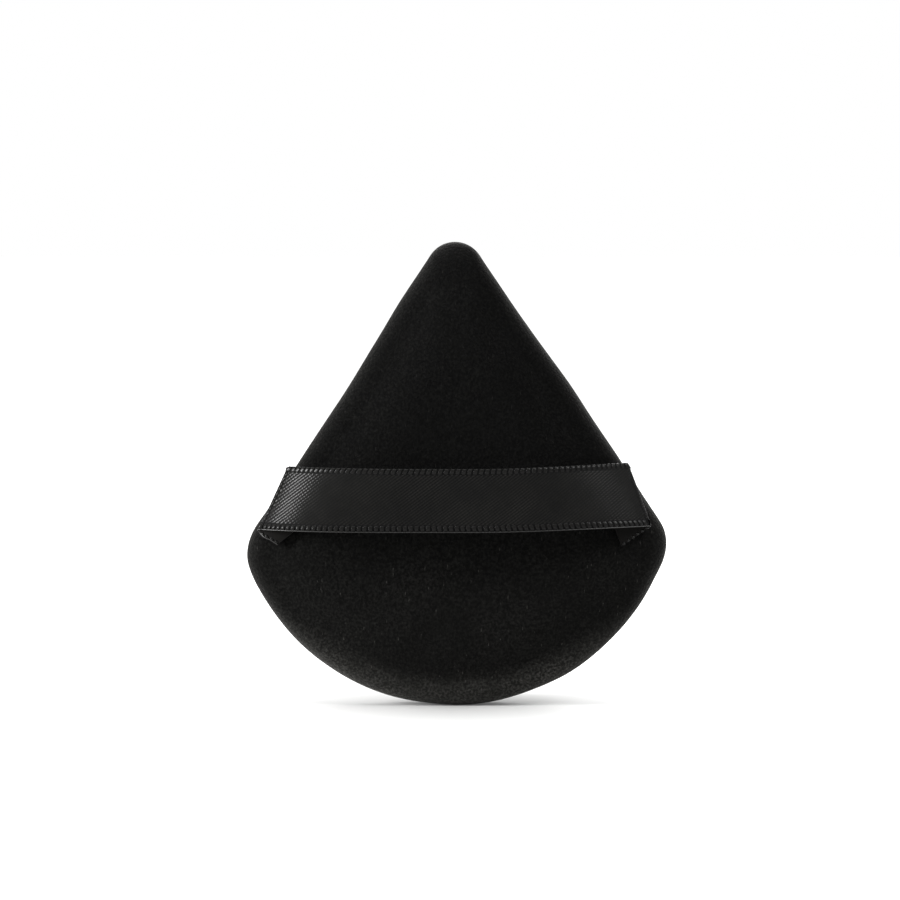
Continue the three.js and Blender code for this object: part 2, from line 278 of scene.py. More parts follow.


# Knitted polyester velour with a cut pile: very dark, with light from below painted in as paler pile over the
# lower edge and lower half
def velourMaterial():
    material, tree = newMaterial("cutPileVelour")
    place = millimetres(tree)
    tufts = addNode(tree, "ShaderNodeTexNoise",
                    {"Vector": place, "Scale": 1 / velour["tuftSize"], "Detail": 3, "Roughness": 0.65})
    nap = addNode(tree, "ShaderNodeTexNoise",
                  {"Vector": place, "Scale": 1 / velour["napSize"], "Detail": 3, "Distortion": 0.6})
    tuftLight = addNode(tree, "ShaderNodeMapRange",
                        {"Value": tufts.outputs["Fac"], "From Min": 0.42, "From Max": 0.74})
    napLight = addNode(tree, "ShaderNodeMapRange",
                       {"Value": nap.outputs["Fac"], "From Min": 0.3, "From Max": 0.7,
                        "To Min": 0.45, "To Max": 1})
    light = addNode(tree, "ShaderNodeMath", {0: tuftLight.outputs[0], 1: napLight.outputs[0]},
                    operation="MULTIPLY")
    # Painted light: this share paints the pile paler towards the lower edge and over the lower half
    paintedBloomShare = addNode(tree, "ShaderNodeAttribute", attribute_name="paintedBloom")
    shade, tip = (
        addNode(tree, "ShaderNodeMix",
                {"Factor": paintedBloomShare.outputs["Fac"], "A": hexColor(velour[closed]),
                 "B": hexColor(velour[paintedLitKey])}, data_type="RGBA").outputs["Result"]
        for closed, paintedLitKey in (("shade", "paintedBloomShade"), ("tip", "paintedBloomTip")))
    pile = addNode(tree, "ShaderNodeMix", {"Factor": light.outputs[0], "A": shade, "B": tip},
                   data_type="RGBA")
    # Lint: a few short pale fibres caught in the pile
    bend = addNode(tree, "ShaderNodeVectorMath",
                   {0: tufts.outputs["Color"], 1: [velour["lintSize"] * 3] * 3}, operation="MULTIPLY")
    hung = addNode(tree, "ShaderNodeVectorMath", {0: place, 1: [1, 1, velour["lintDrop"]]},
                   operation="MULTIPLY")
    strayed = addNode(tree, "ShaderNodeVectorMath", {0: hung.outputs[0], 1: bend.outputs[0]}, operation="ADD")
    cells = addNode(tree, "ShaderNodeTexVoronoi",
                    {"Vector": strayed.outputs[0], "Scale": 1 / velour["lintPitch"]})
    speck = addNode(tree, "ShaderNodeMapRange",
                    {"Value": cells.outputs["Distance"], "From Min": velour["lintSize"] / velour["lintPitch"],
                     "From Max": 0.3 * velour["lintSize"] / velour["lintPitch"]})
    shown = addNode(tree, "ShaderNodeMapRange",
                    {"Value": paintedBloomShare.outputs["Fac"], "From Max": cover["paintedLowerLight"],
                     "To Min": velour["lintShare"][0], "To Max": velour["lintShare"][1]})
    chosen = addNode(tree, "ShaderNodeSeparateColor", {"Color": cells.outputs["Color"]})
    few = addNode(tree, "ShaderNodeMath", {0: chosen.outputs[0], 1: velour["lintFrom"]},
                  operation="GREATER_THAN")
    fibre = addNode(tree, "ShaderNodeMath", {0: speck.outputs[0], 1: few.outputs[0]}, operation="MULTIPLY")
    lint = addNode(tree, "ShaderNodeMath", {0: fibre.outputs[0], 1: shown.outputs[0]}, operation="MULTIPLY")
    color = addNode(tree, "ShaderNodeMix",
                    {"Factor": lint.outputs[0], "A": pile.outputs["Result"], "B": hexColor(velour["lint"])},
                    data_type="RGBA")
    relief = addNode(tree, "ShaderNodeBump",
                     {"Height": tufts.outputs["Fac"], "Strength": 0.8, "Distance": 0.25 * mm})
    shader = addNode(tree, "ShaderNodeBsdfPrincipled",
                     {"Base Color": color.outputs["Result"], "Normal": relief.outputs[0], "Roughness": 0.95,
                      "Specular IOR Level": 0.04, "Sheen Weight": 0.24, "Sheen Roughness": 0.4,
                      "Sheen Tint": hexColor("#d0cecb")})
    finishMaterial(tree, shader)
    return material


satin = {
    "thread": "#0d0d0c",
    "lighterThread": "#232220",  # where the threads are drawn tighter
    # the gap colour is also painted under the loops, as shade between them
    "gap": "#080808",
    "back": "#121110",
    "twillPitch": 0.41,  # mm between the diagonal lines of the weave, as the photograph shows
    "twillTurn": 36,  # degrees up from the ribbon's length
    "crossPitch": 0.52,  # mm between the floats along each line
    "waveUnit": 0.314,  # a wave texture's repeat at scale 1
}


# Woven polyester satin: long floats lie along the ribbon, so the shine spreads across its width
def satinMaterial():
    material, tree = newMaterial("wovenSatin")
    weave = addNode(tree, "ShaderNodeUVMap", uv_map="weave")
    lie = addNode(tree, "ShaderNodeMapping",
                  {"Vector": weave.outputs[0], "Rotation": [0, 0, math.radians(90 - satin["twillTurn"])]})
    lines = addNode(tree, "ShaderNodeTexWave",
                    {"Vector": lie.outputs[0], "Scale": satin["waveUnit"] / satin["twillPitch"],
                     "Distortion": 0.4, "Detail": 1, "Detail Scale": 2}, bands_direction="X")
    floats = addNode(tree, "ShaderNodeTexWave",
                     {"Vector": lie.outputs[0], "Scale": satin["waveUnit"] / satin["crossPitch"],
                      "Distortion": 0.6, "Detail": 1, "Detail Scale": 2}, bands_direction="Y")
    broken = addNode(tree, "ShaderNodeMapRange", {"Value": floats.outputs["Fac"], "To Min": 0.45})
    raised = addNode(tree, "ShaderNodeMath", {0: lines.outputs["Fac"], 1: broken.outputs[0]},
                     operation="MULTIPLY")
    across = addNode(tree, "ShaderNodeSeparateXYZ", {0: weave.outputs[0]})
    aside = addNode(tree, "ShaderNodeMath", {0: across.outputs[1]}, operation="ABSOLUTE")
    face = addNode(tree, "ShaderNodeMath", {0: aside.outputs[0], 1: ribbon["width"] / 2 - picot["reach"]},
                   operation="LESS_THAN")  # not under the loops or at the back; under the loops the darker gap colour is painted shade between the loops, with rough hollows
    twill = addNode(tree, "ShaderNodeMath", {0: raised.outputs[0], 1: face.outputs[0]}, operation="MULTIPLY")
    wander = addNode(tree, "ShaderNodeTexNoise",
                     {"Vector": weave.outputs[0], "Scale": 0.5, "Detail": 4, "Roughness": 0.6})
    drawn = addNode(tree, "ShaderNodeTexNoise",
                    {"Vector": weave.outputs[0], "Scale": 0.16, "Detail": 6, "Roughness": 0.7})
    tight = addNode(tree, "ShaderNodeMapRange",
                    {"Value": drawn.outputs["Fac"], "From Min": 0.32, "From Max": 0.68})
    threads = addNode(tree, "ShaderNodeMix",
                      {"Factor": tight.outputs[0], "A": hexColor(satin["thread"]),
                       "B": hexColor(satin["lighterThread"])}, data_type="RGBA")
    woven = addNode(tree, "ShaderNodeMix",
                    {"Factor": twill.outputs[0], "A": hexColor(satin["gap"]),
                     "B": threads.outputs["Result"]}, data_type="RGBA")
    under = addNode(tree, "ShaderNodeMath", {0: across.outputs[1], 1: ribbon["width"]},
                    operation="GREATER_THAN")
    color = addNode(tree, "ShaderNodeMix",
                    {"Factor": under.outputs[0], "A": woven.outputs["Result"],
                     "B": hexColor(satin["back"])}, data_type="RGBA")
    uneven = addNode(tree, "ShaderNodeMapRange",
                     {"Value": wander.outputs["Fac"], "From Min": 0.3, "From Max": 0.7,
                      "To Min": 0.19, "To Max": 0.25})
    # The gaps between floats and the ribbon's back are rougher than the floats
    hollow = addNode(tree, "ShaderNodeMapRange",
                     {"Value": twill.outputs[0], "From Min": 0.22, "From Max": 0.48,
                      "To Min": 0.65, "To Max": 0})
    dull = addNode(tree, "ShaderNodeMath", {0: under.outputs[0], 1: 0.35, 2: hollow.outputs[0]},
                   operation="MULTIPLY_ADD")
    roughness = addNode(tree, "ShaderNodeMath", {0: uneven.outputs[0], 1: dull.outputs[0]},
                        operation="ADD")
    relief = addNode(tree, "ShaderNodeBump",
                     {"Height": twill.outputs[0], "Strength": 0.7, "Distance": 0.022 * mm})
    lengthwise = addNode(tree, "ShaderNodeTangent", direction_type="UV_MAP", uv_map="weave")
    shader = addNode(tree, "ShaderNodeBsdfPrincipled",
                     {"Base Color": color.outputs["Result"], "Roughness": roughness.outputs[0],
                      "Normal": relief.outputs[0], "Tangent": lengthwise.outputs[0], "Anisotropic": 0.7,
                      "Anisotropic Rotation": 0.25, "Specular IOR Level": 0.1})
    finishMaterial(tree, shader)
    return material


# Glossy filament weft at the ribbon's edges: each loop shows a small bright glint
def picotMaterial():
    material, tree = newMaterial("filamentPicot")
    place = millimetres(tree)
    fibres = addNode(tree, "ShaderNodeTexNoise", {"Vector": place, "Scale": 6, "Detail": 2})
    color = addNode(tree, "ShaderNodeMix",
                    {"Factor": fibres.outputs["Fac"], "A": hexColor("#0d0d0c"), "B": hexColor("#151413")},
                    data_type="RGBA")
    relief = addNode(tree, "ShaderNodeBump",
                     {"Height": fibres.outputs["Fac"], "Strength": 0.3, "Distance": 0.015 * mm})
    shader = addNode(tree, "ShaderNodeBsdfPrincipled",
                     {"Base Color": color.outputs["Result"], "Normal": relief.outputs[0], "Roughness": 0.26,
                      "Specular IOR Level": 0.11})
    finishMaterial(tree, shader)
    return material


# A single smooth monofilament: it mirrors the pale room as a thin light line
def cordMaterial():
    material, tree = newMaterial("smoothMonofilament")
    place = millimetres(tree)
    waver = addNode(tree, "ShaderNodeTexNoise", {"Vector": place, "Scale": 1.3, "Detail": 3})
    roughness = addNode(tree, "ShaderNodeMapRange",
                        {"Value": waver.outputs["Fac"], "To Min": 0.2, "To Max": 0.6})
    shader = addNode(tree, "ShaderNodeBsdfPrincipled",
                     {"Base Color": hexColor("#1a1918"), "Roughness": roughness.outputs[0],
                      "Specular IOR Level": 0.45})
    finishMaterial(tree, shader)
    return material


# Two-ply polyester sewing thread: dark, with a faint shine on each ply
def threadMaterial():
    material, tree = newMaterial("twistedPolyester")
    place = millimetres(tree)
    fibres = addNode(tree, "ShaderNodeTexNoise", {"Vector": place, "Scale": 9, "Detail": 2})
    color = addNode(tree, "ShaderNodeMix",
                    {"Factor": fibres.outputs["Fac"], "A": hexColor("#0e0e10"), "B": hexColor("#202023")},
                    data_type="RGBA")
    relief = addNode(tree, "ShaderNodeBump",
                     {"Height": fibres.outputs["Fac"], "Strength": 0.4, "Distance": 0.03 * mm})
    shader = addNode(tree, "ShaderNodeBsdfPrincipled",
                     {"Base Color": color.outputs["Result"], "Normal": relief.outputs[0], "Roughness": 0.55})
    finishMaterial(tree, shader)
    return material


# Open-cell polyurethane sponge, cut from a block: matt cream with fine dark cells
def foamMaterial():
    material, tree = newMaterial("openCellSponge")
    place = millimetres(tree)
    cells = addNode(tree, "ShaderNodeTexVoronoi", {"Vector": place, "Scale": 1.6, "Randomness": 1})
    walls = addNode(tree, "ShaderNodeMapRange",
                    {"Value": cells.outputs["Distance"], "From Min": 0.12, "From Max": 0.45})
    color = addNode(tree, "ShaderNodeMix",
                    {"Factor": walls.outputs[0], "A": hexColor("#a89b80"), "B": hexColor("#e6dfcf")},
                    data_type="RGBA")
    relief = addNode(tree, "ShaderNodeBump",
                     {"Height": walls.outputs[0], "Strength": 0.9, "Distance": 0.3 * mm})
    shader = addNode(tree, "ShaderNodeBsdfPrincipled",
                     {"Base Color": color.outputs["Result"], "Normal": relief.outputs[0], "Roughness": 0.9})
    finishMaterial(tree, shader)
    return material


# Velour covers
cover = {
    "thickness": 1.1,
    "allowance": 3.5,  # how far the turned-in edges reach from the rim
    "allowanceThickness": 0.9,
    "crownSteps": 26,
    "middleSteps": 24,
    "innermost": 0.02,  # size of the innermost ring, as a share of the flat middle
    "spacing": 0.55,
    "stitchPitch": 2.6,
    "pucker": 0.07,  # how far each stitch draws the seam in
    "puckerFrom": 0.1,  # height over the seam's plane where that starts to fade
    "napDepth": 0.06,
    "napWaves": ((0.12, 0.75), (0.08, 1.6), (2, 0.11)),  # (share of that depth, waves for each mm)
    "paintedBloomDepth": (0.5, 9),  # painted light: the pile is painted paler at the lower edge, fading out between these inwards
    "paintedBloomHeight": (0, 20),  # and between these upwards
    "paintedLowerLight": 0.1,  # painted light: the lower half is painted this much paler, for light from below
    "paintedLowerHeight": (14, 40),  # from where to where that fades
    "innerShares": (0, 0.04, 0.15, 0.35, 0.65, 1),  # places from the rim to the flat middle
}
middle = np.array([0, 33])  # inside every ring


def outerSection():  # (depth, height) from the flat middle out to the rim and round into the seam
    turns = np.linspace(math.pi / 2, 0, cover["crownSteps"] + 1)
    power = 2 / pad["crownPower"]
    depth = pad["crownWidth"] * (1 - np.abs(np.cos(turns)) ** power)
    height = lip["height"] + (halfThickness - lip["height"]) * np.sin(turns) ** power
    roll = np.linspace(0, math.pi / 2, lip["steps"] + 1)[1:]
    rollDepth = lip["radius"] * (1 - np.cos(roll))
    rollHeight = lip["height"] - lip["radius"] * np.sin(roll)
    return np.concatenate([depth, rollDepth]), np.concatenate([height, rollHeight])


def innerSection():
    top = lip["gap"] / 2 + cover["allowanceThickness"]
    shares = np.array(cover["innerShares"])
    depth = cover["thickness"] + shares * (pad["crownWidth"] - cover["thickness"])
    height = top + (halfThickness - cover["thickness"] - top) * crown(shares)
    return (np.concatenate([[cover["allowance"]] * 2, depth]),
            np.concatenate([[lip["gap"] / 2, top], height]))


def outerGrid():  # (x, z), depth and height of the outer face, ring by ring
    depths, heights = outerSection()
    first = rimRing(depths[0], cover["spacing"])
    rings = [middle + (first - middle) * share
             for share in np.linspace(cover["innermost"], 1, cover["middleSteps"], endpoint=False)]
    depths = np.concatenate([np.full(len(rings), pad["crownWidth"]), depths])
    heights = np.concatenate([np.full(len(rings), halfThickness), heights])
    rings += [rimRing(d, cover["spacing"]) for d in depths[len(rings):]]
    return np.array(rings), depths, heights


swelling = {
    "scale": 8,  # the simulation runs this much larger, where its units behave
    "start": 0.94,  # share of the thickness that it starts from
    "voxel": 5.5,  # mm at that scale
    "pressure": 4,
    "frames": 20,
    "cap": 7,  # mm at that scale, the furthest that a point may move
    "coarse": 1.2,  # mm between the points of the outline that it starts from
    "seamInset": 0.1,  # mm in from the rim, where its two faces meet
    "least": -0.5,  # mm, how far a face may end under its modelled section
    "most": 0.8,  # and over it
    "blurs": 16,
    "castFrom": 50,  # mm from the seam's plane, where the rays that look up the height start
    "from": 1,  # mm in from the rim, where the swelling starts
    "full": 4,  # and where it is whole
    "dome": 0.4,  # mm, the plain dome that stands in when no cloth tree is given
}


# The whole pad blown up as cloth with its seam held; gives a tree to look up the faces' heights
def swollenPad():
    depths, heights = outerSection()
    scale = swelling["scale"]
    keep = slice(0, cover["crownSteps"] + 1, 2)
    half = [(d, h * swelling["start"]) for d, h in zip(depths[keep], heights[keep])]
    section = half + [(swelling["seamInset"], 0)] + [(d, -h) for d, h in reversed(half)]
    rings = [standUp(rimRing(d, swelling["coarse"]), h) * scale for d, h in section]
    coarse = makeObject("swellingPad", *loft(rings))
    remesh = coarse.modifiers.new("voxels", "REMESH")
    remesh.mode = "VOXEL"
    remesh.voxel_size = swelling["voxel"] * mm
    depsgraph = bpy.context.evaluated_depsgraph_get()
    coarse.data = bpy.data.meshes.new_from_object(coarse.evaluated_get(depsgraph))
    coarse.modifiers.clear()
    count = len(coarse.data.vertices)
    before = np.zeros(count * 3, np.float32)
    coarse.data.vertices.foreach_get("co", before)
    before = before.reshape(-1, 3)
    held = coarse.vertex_groups.new(name="seam")
    overSeam = np.abs(before[:, 1] / mm / scale - seamY)
    held.add(np.flatnonzero(overSeam < lip["height"]).tolist(), 1, "REPLACE")
    cloth = coarse.modifiers.new("swell", "CLOTH")
    cloth.settings.use_pressure = True
    cloth.settings.uniform_pressure_force = swelling["pressure"]
    cloth.settings.vertex_group_mass = "seam"
    cloth.settings.effector_weights.gravity = 0
    cloth.point_cache.frame_end = swelling["frames"]
    for step in range(1, swelling["frames"] + 1):
        bpy.context.scene.frame_set(step)
    depsgraph = bpy.context.evaluated_depsgraph_get()
    swollen = bpy.data.meshes.new_from_object(coarse.evaluated_get(depsgraph))
    after = np.zeros(count * 3, np.float32)
    swollen.vertices.foreach_get("co", after)
    move = after.reshape(-1, 3) - before
    length = np.linalg.norm(move, axis=1)
    print("cloth moved", round(float(length.mean() / mm / scale), 2), "to",
          round(float(length.max() / mm / scale), 2), "mm")
    move *= (np.minimum(length, swelling["cap"] * mm) / np.maximum(length, 1e-9))[:, None]
    faces = [tuple(face.vertices) for face in swollen.polygons]
    tree = BVHTree.FromPolygons(((before + move) / mm / scale).tolist(), faces)
    bpy.context.scene.frame_set(1)
    bpy.data.objects.remove(coarse)
    return tree


def boxBlur(grid, times):  # round each ring and between rings
    for _ in range(times):
        grid = (np.roll(grid, 1, 1) + grid + np.roll(grid, -1, 1)) / 3
        padded = np.concatenate([grid[:1], grid, grid[-1:]])
        grid = (padded[:-2] + padded[1:-1] + padded[2:]) / 3
    return grid


def swellOf(tree, rings, depths, heights, side):
    if tree is None:
        dome = swelling["dome"] * smooth(depths, swelling["from"], pad["crownWidth"])
        return np.repeat(dome[:, None], rings.shape[1], 1)
    swell = np.zeros(rings.shape[:2])
    for r, (ring, depth, height) in enumerate(zip(rings, depths, heights)):
        if depth < swelling["from"]:
            continue
        for i, (x, z) in enumerate(ring):
            outside = Vector((x, seamY - side * swelling["castFrom"], z))
            hit = tree.ray_cast(outside, Vector((0, side, 0)))[0]
            if hit is not None:
                swell[r, i] = side * (seamY - hit.y) - height
    swell = boxBlur(np.clip(swell, swelling["least"], swelling["most"]), swelling["blurs"])
    return swell * smooth(depths, swelling["from"], swelling["full"])[:, None]


# One face of the pad: side is 1 for the ribbon's face and -1 for the back
def makeCover(name, side, tree):
    rings, depths, heights = outerGrid()
    swell = swellOf(tree, rings, depths, heights, side)
    rim = rimRing(0, cover["spacing"])
    steps = np.linalg.norm(np.roll(rim, -1, 0) - rim, axis=1)
    stitches = round(steps.sum() / cover["stitchPitch"])
    phase = 2 * math.pi * stitches * np.cumsum(steps) / steps.sum()
    nearSeam = 1 - smooth(heights, cover["puckerFrom"], lip["height"])
    draw = cover["pucker"] * nearSeam[:, None] * (1 + np.cos(phase))[None]
    toMiddle = middle - rings
    toMiddle /= np.linalg.norm(toMiddle, axis=2)[..., None]
    rings = rings + toMiddle * draw[..., None]
    outer = [standUp(ring, side * (height + rise)) for ring, height, rise in zip(rings, heights, swell)]
    inner = [standUp(rimRing(d, cover["spacing"]), side * h) for d, h in zip(*innerSection())]
    points, faces = loft(outer + inner)
    points = swayed(points)
    piece = makeObject(name, points, faces)
    mesh = piece.data
    normals = np.zeros(len(points) * 3, np.float32)
    mesh.vertices.foreach_get("normal", normals)
    normals = normals.reshape(-1, 3)
    outerCount = len(outer) * len(rim)
    nap = np.zeros(len(points))
    for i in range(outerCount):
        spot = Vector(points[i])
        nap[i] = sum(share * noise.noise(spot * waves) for share, waves in cover["napWaves"])
    points = points + normals * (nap * cover["napDepth"])[:, None]
    points[:, 2] = np.maximum(points[:, 2], 0)
    mesh.vertices.foreach_set("co", (points * mm).ravel())
    mesh.update()
    # Painted light: paler pile towards the lower edge and over the lower half, for light from below
    paintedBloom = np.zeros(len(points))
    paintedBloom[:outerCount] = np.repeat((1 - smooth(depths, *cover["paintedBloomDepth"])) ** 2, len(rim))
    paintedBloom *= 1 - smooth(points[:, 2], *cover["paintedBloomHeight"])
    paintedBloom = np.maximum(paintedBloom, cover["paintedLowerLight"] * (1 - smooth(points[:, 2], *cover["paintedLowerHeight"])))
    mesh.attributes.new("paintedBloom", "FLOAT", "POINT").data.foreach_set("value", paintedBloom)
    return piece


# Foam core, with a slot for the turned-in edges
sponge = {"clearance": 0.3, "crownSteps": 11, "spacing": 1.2, "crease": 50}


def makeCore():
    clearance = sponge["clearance"]
    inset = cover["thickness"] + clearance
    slot = lip["gap"] / 2 + cover["allowanceThickness"] + clearance
    turns = np.linspace(math.pi / 2, 0, sponge["crownSteps"] + 1)
    power = 2 / pad["crownPower"]
    depth = inset + (pad["crownWidth"] - inset) * (1 - np.abs(np.cos(turns)) ** power)
    height = slot + (halfThickness - inset - slot) * np.sin(turns) ** power
    half = list(zip(depth, height)) + [(cover["allowance"] + clearance, slot)]
    section = half + [(d, -h) for d, h in reversed(half)]
    points, faces = loft([standUp(rimRing(d, sponge["spacing"]), h) for d, h in section])
    return makeObject("sponge_core", swayed(points), faces, crease=sponge["crease"])


# Satin ribbon
ribbon = {
    "flatWidth": 10,
    "width": 9.85,  # as it lies, drawn in a little by its looped edges
    "thickness": 0.35,
    "height": 33.1,  # its middle above the table
    "fingerGap": 5.2,
    "archPower": (4.2, 2.9),  # at the lower and the upper edge
    "tailClearance": 0.3,
    "bendRadius": 0.4,
    "tailSeat": 0.4,
    "spanSteps": 200,
    "acrossSteps": 28,
    "bendSteps": 14,
    "tailSteps": 24,
    "rightRise": 0.6,  # the right half climbs a little towards its fold
    "riseBetween": (2, 29),  # places to the right of the midline
    "slack": 0.24,  # unevenness of the arch
    "slackWaves": (0.09, 0.07),  # for each mm, along and across the ribbon
    "slackSlice": 3.1,  # which slice of the noise is used
    "slackBetween": (5, 10),  # it grows between these distances from the seam's plane
    "turnWithin": 2,  # mm of the tail in which its threads turn
    "thinFrom": 0.97,  # share of the half width where the woven edge starts to thin
    "thinnest": 0.25,  # share of the thickness that is left at the edge
    "crease": 60,
}
# lean and turn in degrees; the tail's cut runs off square by the slant, in mm for each mm across
leftFold = {"side": -1, "inset": -0.1, "lean": 8.7, "tail": 6.8, "slant": 0, "turn": 19}
rightFold = {"side": 1, "inset": 1, "lean": 13.2, "tail": 7.5, "slant": 0.28, "turn": 4}
archHeight = halfThickness + ribbon["fingerGap"] + ribbon["thickness"] / 2
bendStart = -ribbon["bendRadius"]
bendEnd = bendStart + math.pi * ribbon["bendRadius"]

for fold in (leftFold, rightFold):
    turn = sideLean + math.radians(fold["lean"])
    fold["along"], fold["across"] = math.sin(turn), math.cos(turn)
    fold["x"] = (sideOffset - sideNormal[1] * ribbon["height"]) / sideNormal[0] - fold["inset"]


def reach(fold, past, t):  # how far out along the ribbon a line past the fold lies, at t across it
    return (past - t * fold["across"]) / fold["along"]


def foldPlace(fold, past, along):  # (x, z) of a place past the fold line
    return (fold["side"] * (fold["x"] + past * fold["along"] - along * fold["across"]),
            ribbon["height"] + past * fold["across"] + along * fold["along"])


def tailHeight(x, z):
    depth = np.maximum(rimDepth(x, z), ribbon["tailSeat"])
    return padHeight(depth) + ribbon["tailClearance"] + ribbon["thickness"] / 2


def endHeight(fold, t):  # the taut ribbon runs straight across from edge to edge
    edges = np.array([-0.5, 0.5]) * ribbon["width"]
    along = -reach(fold, bendStart, edges) * fold["across"] + edges * fold["along"]
    heights = tailHeight(*foldPlace(fold, bendStart, along)) + 2 * ribbon["bendRadius"]
    return np.interp(t, edges, heights)


def archAt(x, t):
    left, right = (f["side"] * (f["x"] + reach(f, bendStart, t)) for f in (leftFold, rightFold))
    share = (2 * x - left - right) / (right - left)
    ends = endHeight(leftFold, t) + (endHeight(rightFold, t) - endHeight(leftFold, t)) * (share + 1) / 2
    power = np.interp(t, (-0.5 * ribbon["width"], 0.5 * ribbon["width"]), ribbon["archPower"])
    return ends + (archHeight - ends) * (1 - np.minimum(np.abs(share), 1) ** power)


def ribbonRow(fold, s, t):  # points of one row past a fold's start, from places along and across
    past = s * fold["along"] + t * fold["across"]
    along = -s * fold["across"] + t * fold["along"]
    turn = np.clip((past - bendStart) / ribbon["bendRadius"], 0, math.pi)
    back = np.maximum(past - bendEnd, 0)
    x, z = foldPlace(fold, ribbon["bendRadius"] * (np.sin(turn) - 1) - back, along)
    low = tailHeight(*foldPlace(fold, bendStart, along))
    high = endHeight(fold, t)
    height = (high + low) / 2 + ((high - low) / 2) * np.cos(turn)
    # Past the bend each thread of the tail turns a little where it leaves the fold, as it was sewn
    leave = reach(fold, bendEnd, t)
    pivotX, pivotZ = foldPlace(fold, -ribbon["bendRadius"], t * fold["along"] - leave * fold["across"])
    swing = -fold["side"] * math.radians(fold["turn"]) * smooth(back, 0, ribbon["turnWithin"])
    overX, overZ = x - pivotX, z - pivotZ
    x = pivotX + overX * np.cos(swing) - overZ * np.sin(swing)
    z = pivotZ + overX * np.sin(swing) + overZ * np.cos(swing)
    height = np.where(back > 0, tailHeight(x, z), height)
    return np.stack([x, seamY - height, z], 1)


def settle(points):  # the ribbon's slack: a slow unevenness, and the climb to its right end
    points = swayed(points)
    points[..., 2] += ribbon["rightRise"] * smooth(points[..., 0], *ribbon["riseBetween"])
    alongWaves, acrossWaves = ribbon["slackWaves"]
    for point in points.reshape(-1, 3):
        lift = smooth(seamY - point[1], *ribbon["slackBetween"])
        spot = Vector((point[0] * alongWaves, ribbon["slackSlice"], point[2] * acrossWaves))
        point[1] += ribbon["slack"] * lift * noise.noise(spot)
    return points


def ribbonGrid():  # rows of points at the ribbon's middle layer, and how far along it each lies
    t = np.linspace(-0.5, 0.5, ribbon["acrossSteps"] + 1) * ribbon["width"]
    rows, lengths = [], []
    ends = {}
    for fold in (leftFold, rightFold):
        endRows = []
        for past in np.linspace(bendStart, bendEnd, ribbon["bendSteps"] + 1):
            endRows.append(reach(fold, past, t))
        start = reach(fold, bendEnd, t)
        for share in np.linspace(0, 1, ribbon["tailSteps"] + 1)[1:]:
            cut = fold["tail"] - fold["slant"] * (t - t[0])
            endRows.append(start + (cut - start) * share)
        ends[fold["side"]] = [(ribbonRow(fold, s, t), fold["side"] * (fold["x"] + s)) for s in endRows]
    left = ends[-1][0][1]
    right = ends[1][0][1]
    span = []
    for share in np.linspace(0, 1, ribbon["spanSteps"] + 1)[1:-1]:
        x = left + (right - left) * share
        span.append((np.stack([x, seamY - archAt(x, t), ribbon["height"] + t], 1), x))
    for points, length in ends[-1][::-1] + span + ends[1]:
        rows.append(points)
        lengths.append(length)
    return settle(np.array(rows)), np.array(lengths), t


def gridNormals(grid):
    normals = np.cross(np.gradient(grid, axis=0), np.gradient(grid, axis=1))
    return normals / np.linalg.norm(normals, axis=2)[..., None]


def makeRibbon(grid, lengths, t):
    normals = gridNormals(grid)
    edge = np.abs(t) / (ribbon["width"] / 2)
    half = ribbon["thickness"] / 2 * (1 - (1 - ribbon["thinnest"]) * smooth(edge, ribbon["thinFrom"], 1))
    front = grid + normals * half[None, :, None]
    back = grid - normals * half[None, :, None]
    rows, width = grid.shape[:2]
    points = np.concatenate([front, back[:, ::-1]], 1).reshape(-1, 3)
    faces = bandFaces(rows, 2 * width)
    for row, turned in ((0, False), (rows - 1, True)):
        start = row * 2 * width
        for i in range(width - 1):
            far = 2 * width - 1 - i
            face = (start + i, start + far, start + far - 1, start + i + 1)
            faces.append(face[::-1] if turned else face)
    strap = makeObject("satin_strap", points, faces, crease=ribbon["crease"])
    uvAt = np.concatenate([np.stack([lengths, np.broadcast_to(t, lengths.shape)], 2)] * 2, 1)
    uvAt[:, width:] = uvAt[:, width:][:, ::-1] + [0, 2 * ribbon["width"]]  # the back's own place
    uvAt = uvAt.reshape(-1, 2)
    layer = strap.data.uv_layers.new(name="weave")
    corners = np.zeros(len(strap.data.loops), np.int32)
    strap.data.loops.foreach_get("vertex_index", corners)
    layer.uv.foreach_set("vector", uvAt[corners].astype(np.float32).ravel())
    return strap


picot = {
    "pitch": 0.9,  # mm between the loops of the woven edge
    "reach": 1,  # how far each runs in over the ribbon's face
    "slant": -0.25,
    "radius": 0.32,
    "girth": (0.7, 1, 1, 0.95, 0.9, 0.95, 0.6),  # share of that radius at each place of a loop
    "flat": 0.1,  # each loop lies flat, as several filaments side by side
    "bead": 0.3,  # and is rounder where it turns at the lower edge
    "sides": 10,
    "cord": 0.085,  # radius of the outer filament along the lower edge
    "cordSides": 8,
}


